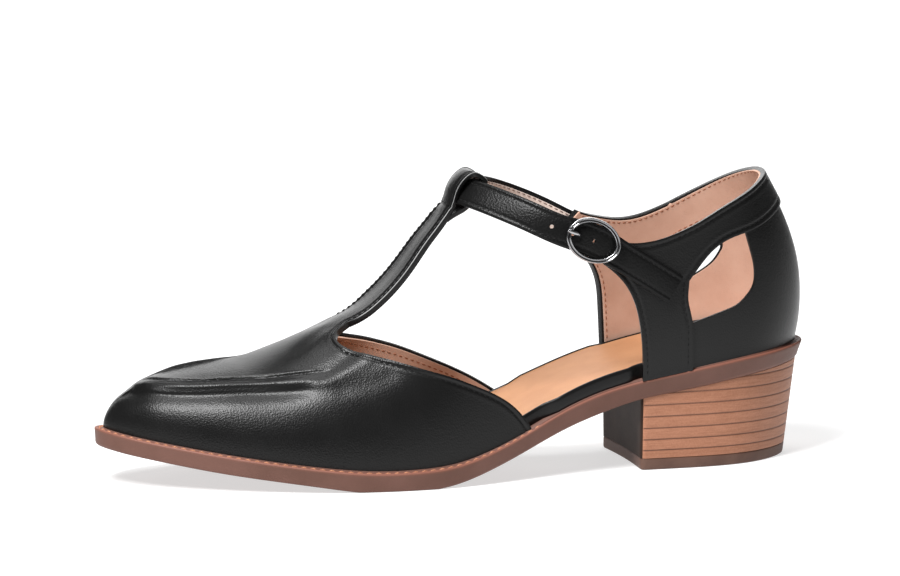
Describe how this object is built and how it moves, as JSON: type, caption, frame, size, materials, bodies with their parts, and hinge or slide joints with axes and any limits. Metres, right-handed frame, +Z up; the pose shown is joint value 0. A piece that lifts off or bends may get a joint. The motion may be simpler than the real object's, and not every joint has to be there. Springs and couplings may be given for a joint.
{
  "type": "t-strap shoe",
  "caption": "Left closed-toe T-strap shoe with an open waist, side windows in the quarter, a buckled ankle strap, a stitched brown sole and a low stacked block heel.",
  "frame": {"origin": "bottom centre of the bounding box, on the floor", "axes": "+Z up, +X from the toe to the heel, +Y towards the inner side of the foot"},
  "size_m": [0.2518, 0.0806, 0.1041],
  "materials": {
    "black_leather": "fine grain, soft sheen",
    "black_wrap": "smooth, satin",
    "tan_leather": "smooth, matt",
    "sole_brown": "satin",
    "heel_stack": "stacked layers, satin",
    "lift_rubber": "matt",
    "buckle_metal": "bright edges, dark groove"
  },
  "bodies": {
    "root": {"outsole": "sole_brown", "heel_block": "heel_stack", "top_lift": "lift_rubber", "insole_board": "black_wrap", "insole": "tan_leather", "vamp": "black_leather", "quarter": "black_leather", "collar_band": "black_leather", "ankle_strap": "black_leather", "buckle_frame": "buckle_metal", "buckle_bar": "buckle_metal", "buckle_prong": "buckle_metal", "buckle_tab": "black_leather"}
  },
  "joints": []
}
